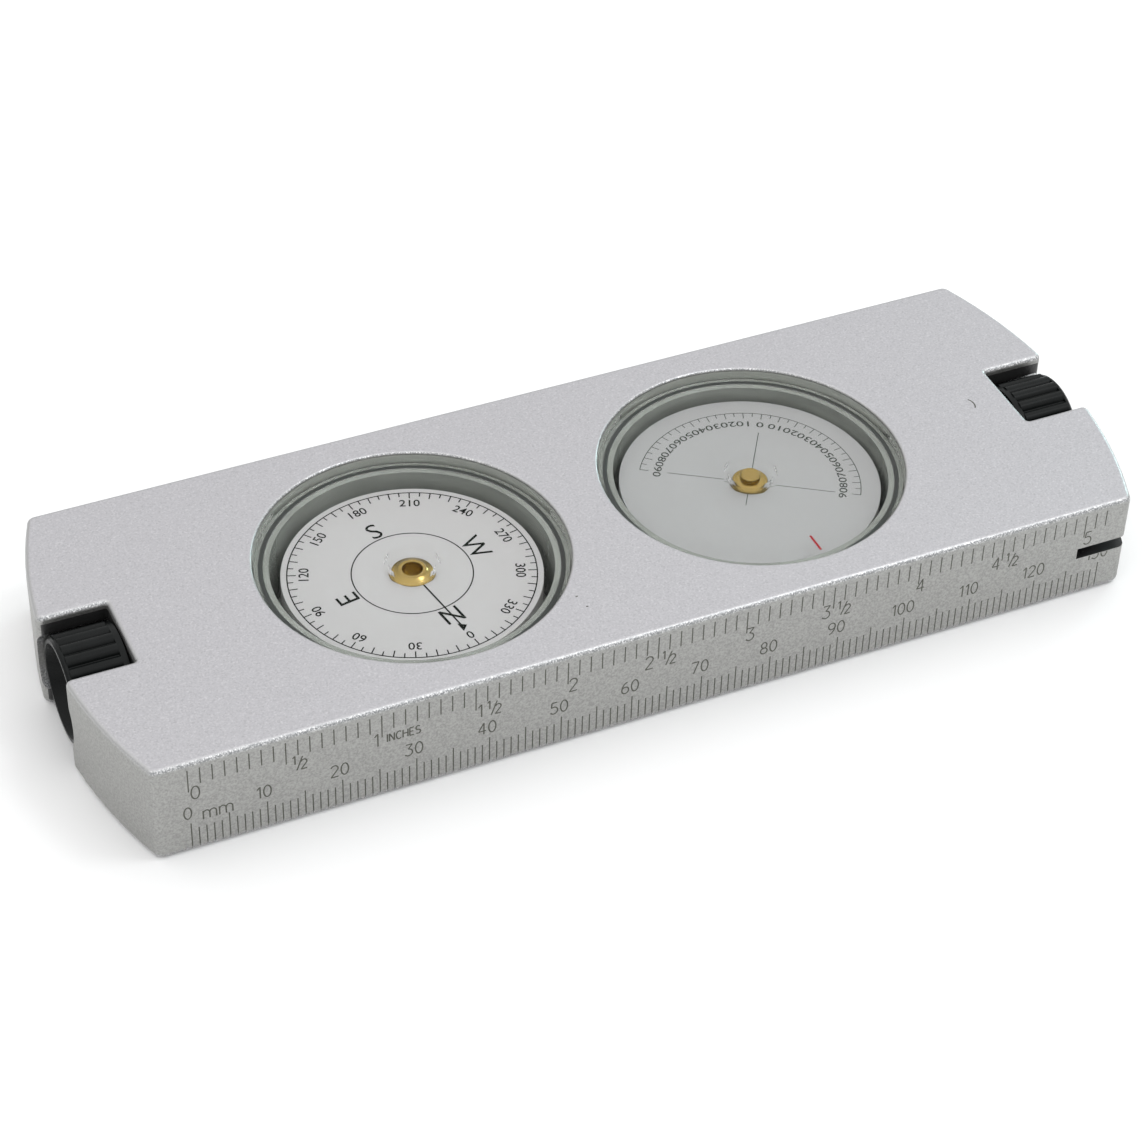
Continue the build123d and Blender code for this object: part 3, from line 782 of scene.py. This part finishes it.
def ruler_numbers():
    """Numbers and unit words between the two rows of ticks."""
    strokes = written("0", MM_NUMBER_HEIGHT, RULER_ZERO - 0.8 * MM, MM_NUMBER_FOOT)
    strokes += written("mm", MM_WORD_HEIGHT, RULER_ZERO + 1.65 * MM, MM_WORD_FOOT)
    for tens in range(10, MM_TICKS, 10):
        text = str(tens)
        centre = RULER_ZERO + tens * MM + MM_NUMBER_SHIFT
        left = centre - word_width(text, MM_NUMBER_HEIGHT) / 2
        strokes += written(text, MM_NUMBER_HEIGHT, left, MM_NUMBER_FOOT)
    for inches, shift in enumerate(INCH_NUMBER_SHIFTS):
        text = str(inches)
        centre = RULER_ZERO + inches * INCH + shift * MM
        left = centre - word_width(text, INCH_NUMBER_HEIGHT) / 2
        strokes += written(text, INCH_NUMBER_HEIGHT, left, INCH_NUMBER_FOOT)
    for inches, (shift, number_shift) in enumerate(zip(HALF_SHIFTS, HALF_NUMBER_SHIFTS)):
        tick = RULER_ZERO + (inches + 0.5) * INCH
        strokes += half_mark(tick + shift * MM)
        if inches:
            text = str(inches)
            left = tick + number_shift * MM - word_width(text, INCH_NUMBER_HEIGHT) / 2
            strokes += written(text, INCH_NUMBER_HEIGHT, left, INCH_NUMBER_FOOT)
    left = RULER_ZERO + INCH + 0.7 * MM
    strokes += written("INCHES", INCH_WORD_HEIGHT, left, INCH_WORD_FOOT)
    return drawn_lines("ruler_numbers", strokes, ENGRAVING_WIDTH, RULER_PLANE)


def cut_number():
    """The last millimetre number, whose top the lanyard slot cuts away."""
    text = str(MM_TICKS)
    centre = RULER_ZERO + MM_TICKS * MM + MM_NUMBER_SHIFT
    left = centre - word_width(text, MM_NUMBER_HEIGHT) / 2
    strokes = written(text, MM_NUMBER_HEIGHT, left, MM_NUMBER_FOOT)
    mesh = drawn_lines("cut_number", strokes, ENGRAVING_WIDTH, RULER_PLANE)
    made = bmesh.new()
    made.from_mesh(mesh)
    bmesh.ops.bisect_plane(
        made,
        geom=made.verts[:] + made.edges[:] + made.faces[:],
        plane_co=(0, 0, SLOT_FOOT),
        plane_no=(0, 0, 1),
        clear_outer=True,
    )
    bmesh.ops.holes_fill(made, edges=[edge for edge in made.edges if edge.is_boundary])
    made.to_mesh(mesh)
    made.free()
    return mesh


def spoke(bearing, inner, outer):
    """Radial stroke on a dial."""
    turn = math.radians(bearing)
    return [(radius * math.cos(turn), radius * math.sin(turn)) for radius in (inner, outer)]


def compass_lines():
    """Ring of ticks every five degrees and the inner circle of the compass card."""
    strokes = [circle(COMPASS_RING), circle(INNER_RING)]
    for degrees in range(0, 360, 5):
        length = COMPASS_SHORT_TICK if degrees % 10 else CARD_LONG_TICK
        strokes.append(spoke(NORTH_BEARING - degrees, COMPASS_RING - length, COMPASS_RING))
    return drawn_lines("compass_lines", strokes, CARD_LINE, card_plane(COMPASS_CENTRE))


def north_line():
    """Bold line from the hub to the arrowhead."""
    line = [spoke(NORTH_BEARING, NORTH_LINE_START, ARROW_TIP - ARROW_NECK)]
    return drawn_lines("north_line", line, NORTH_LINE, card_plane(COMPASS_CENTRE))


def compass_arrowhead():
    """Solid head of the north arrow."""
    head = bmesh.new()
    bmesh.ops.create_cone(
        head,
        cap_ends=True,
        segments=3,
        radius1=ARROW_REACH,
        radius2=ARROW_REACH,
        depth=INLAY,
    )
    bmesh.ops.scale(head, vec=(1.0, 0.7, 1.0), verts=head.verts)
    turn = Matrix.Rotation(math.radians(NORTH_BEARING), 4, "Z")
    point = turn @ Matrix.Translation((ARROW_TIP - ARROW_REACH, 0, 0))
    bmesh.ops.transform(head, matrix=card_plane(COMPASS_CENTRE) @ point, verts=head.verts)
    mesh = bpy.data.meshes.new("compass_arrowhead")
    head.to_mesh(mesh)
    head.free()
    return mesh


def compass_words():
    """Degrees every thirty and the four letters, tops outwards."""
    words = [
        (str(d), COMPASS_FIGURES, 0.01, NORTH_BEARING - d, COMPASS_FIGURE_RING, True)
        for d in range(0, 360, 30)
    ]
    for letter, degrees in (("N", 0), ("E", 90), ("S", 180), ("W", 270)):
        bearing = NORTH_BEARING - degrees
        words.append((letter, COMPASS_LETTERS, -0.004, bearing, COMPASS_LETTER_RING, True))
    return printed_words("compass_words", words, card_plane(COMPASS_CENTRE))


def clinometer_lines():
    """Half ring of ticks either side of zero, with the cross lines of the clinometer card."""
    first, last = ZERO_BEARING - 90, ZERO_BEARING + 90
    strokes = [arc(0, 0, CLINOMETER_ARC, CLINOMETER_ARC, first, last, 90)]
    for degrees in range(-90, 91, 5):
        length = CLINOMETER_SHORT_TICK if degrees % 10 else CARD_LONG_TICK
        strokes.append(spoke(ZERO_BEARING + degrees, CLINOMETER_ARC - length, CLINOMETER_ARC))
    for bearing, inner, outer in CROSS_LINES:
        strokes.append(spoke(ZERO_BEARING + bearing, inner * MM, outer * MM))
    plane = card_plane(CLINOMETER_CENTRE)
    return drawn_lines("clinometer_lines", strokes, CLINOMETER_LINE, plane)


def clinometer_words():
    """Slope every ten degrees, tops towards the centre."""
    words = [
        (str(abs(d)), CLINOMETER_FIGURES, 0.004, ZERO_BEARING + d, CLINOMETER_FIGURE_RING, False)
        for d in range(-90, 91, 10)
    ]
    plane = card_plane(CLINOMETER_CENTRE)
    return printed_words("clinometer_words", words, plane, CLINOMETER_STRETCH)


SPECKS = ((-8.27, -15.96), (-7.81, -18.27))    # millimetres from the block's middle
NICK_WIDTH = 0.2 * MM


def nicks():
    """Two specks and a short scratch in the block's top."""
    strokes = []
    for x, y in SPECKS:
        strokes.append([((x - 0.15) * MM, y * MM), ((x + 0.15) * MM, (y - 0.06) * MM)])
    scratch = arc(58.7 * MM, 0.1 * MM, 0.75 * MM, 1.2 * MM, 60, -55, 6)
    return drawn_lines("nicks", strokes + [scratch], NICK_WIDTH, Matrix.Translation((0, 0, TOP)))


def index_line():
    """Red line under the clinometer window, which the card is read against."""
    plane = Matrix.Translation((CLINOMETER_CENTRE.x, CLINOMETER_CENTRE.y, WINDOW_UNDERSIDE - INLAY))
    line = [(x * MM, y * MM) for x, y in INDEX_ENDS]
    return drawn_lines("index_line", [line], INDEX_WIDTH, plane)


def add_marks():
    """All printing and engraving, each piece riding on the body that carries it."""
    fill = scale_fill()
    black = card_ink("card_ink", (0.003, 0.004, 0.003))
    grey = card_ink("fine_ink", (0.03, 0.035, 0.03))
    red = card_ink("red_ink", (0.2, 0.005, 0.009))
    for name, mesh, body, material in (
        ("ruler_ticks", ruler_ticks(), "block", fill),
        ("ruler_numbers", ruler_numbers(), "block", fill),
        ("ruler_cut_number", cut_number(), "block", fill),
        ("surface_nicks", nicks(), "block", fill),
        ("compass_card_lines", compass_lines(), "compass_rose", black),
        ("compass_card_north_line", north_line(), "compass_rose", black),
        ("compass_card_arrowhead", compass_arrowhead(), "compass_rose", black),
        ("compass_card_words", compass_words(), "compass_rose", black),
        ("clinometer_card_lines", clinometer_lines(), "clinometer_dial", grey),
        ("clinometer_card_words", clinometer_words(), "clinometer_dial", grey),
        ("clinometer_index_line", index_line(), "block", red),
    ):
        piece_from(name, mesh, body, material)


# ---------------------------------------------------------------- studio

CAMERA_AIM = Vector((-3.17, -3.53, 7.6)) * MM
CAMERA_AZIMUTH = -25.003
CAMERA_ELEVATION = 41.114
CAMERA_DISTANCE = 426.4 * MM
CAMERA_ROLL = 1.79
CAMERA_LENS = 100.0
HORIZON_LIGHT = 0.5
OVERHEAD_LIGHT = 1.45


def set_camera():
    """Long lens from above the ruler's compass end."""
    azimuth = math.radians(CAMERA_AZIMUTH)
    elevation = math.radians(CAMERA_ELEVATION)
    back = Vector((
        math.sin(azimuth) * math.cos(elevation),
        -math.cos(azimuth) * math.cos(elevation),
        math.sin(elevation),
    ))
    camera = bpy.data.objects.new("camera", bpy.data.cameras.new("camera"))
    bpy.context.scene.collection.objects.link(camera)
    level = (-back).to_track_quat("-Z", "Y").to_matrix().to_4x4()
    roll = Matrix.Rotation(math.radians(CAMERA_ROLL), 4, "Z")
    camera.matrix_world = Matrix.Translation(CAMERA_AIM + back * CAMERA_DISTANCE) @ level @ roll
    camera.data.lens = CAMERA_LENS
    camera.data.sensor_width = 36.0
    camera.data.clip_start = 0.01
    camera.data.clip_end = 20.0
    bpy.context.scene.camera = camera


def softbox(name, place, size, power, colour):
    """Square soft light aimed at the middle of the object."""
    light = bpy.data.lights.new(name, "AREA")
    light.size = size
    light.energy = power
    light.color = colour
    holder = bpy.data.objects.new(name, light)
    bpy.context.scene.collection.objects.link(holder)
    holder.location = place
    holder.rotation_mode = "QUATERNION"
    holder.rotation_quaternion = (-Vector(place)).to_track_quat("-Z", "Y")


def set_surroundings():
    """Even light all round, dim at the horizon and bright overhead."""
    world = bpy.data.worlds.new("studio")
    bpy.context.scene.world = world
    world.use_nodes = True
    tree = world.node_tree
    direction = tree.nodes.new("ShaderNodeTexCoord")
    parts = tree.nodes.new("ShaderNodeSeparateXYZ")
    tree.links.new(direction.outputs["Generated"], parts.inputs[0])
    strength = tree.nodes.new("ShaderNodeMapRange")
    strength.inputs["To Min"].default_value = HORIZON_LIGHT
    strength.inputs["To Max"].default_value = OVERHEAD_LIGHT
    tree.links.new(parts.outputs["Z"], strength.inputs["Value"])
    background = tree.nodes["Background"]
    background.inputs["Color"].default_value = (1.0, 1.0, 1.0, 1)
    tree.links.new(strength.outputs[0], background.inputs["Strength"])


def set_studio():
    """White floor, even surrounding light and soft lamps."""
    floor_mesh = bpy.data.meshes.new("floor")
    sheet = bmesh.new()
    bmesh.ops.create_grid(sheet, x_segments=1, y_segments=1, size=4.0)
    bmesh.ops.translate(sheet, vec=(0, 0, BLOCK_LOW.z - 0.02 * MM), verts=sheet.verts)
    sheet.to_mesh(floor_mesh)
    sheet.free()
    floor = bpy.data.objects.new("floor", floor_mesh)
    bpy.context.scene.collection.objects.link(floor)
    paper = Finish("floor_paper", (0.93, 0.93, 0.93), 0.9)
    smudge = paper.group(SMUDGES, Vector=paper.place, Size=0.2)
    paper.feed("Base Color", paper.mix_colour(smudge["Mask"], (0.93, 0.93, 0.93), (0.94, 0.94, 0.94)))
    floor_mesh.materials.append(paper.material)

    set_surroundings()
    softbox("overhead", (0.22, -0.13, 0.5), 0.12, 0.36, (0.94, 0.98, 1.0))
    softbox("far_right", (0.95, 0.52, 0.3), 0.2, 1.4, (0.7, 1.0, 1.0))
    bpy.context.scene.view_settings.view_transform = "Standard"


set_camera()
set_studio()
dress_frame()
add_marks()
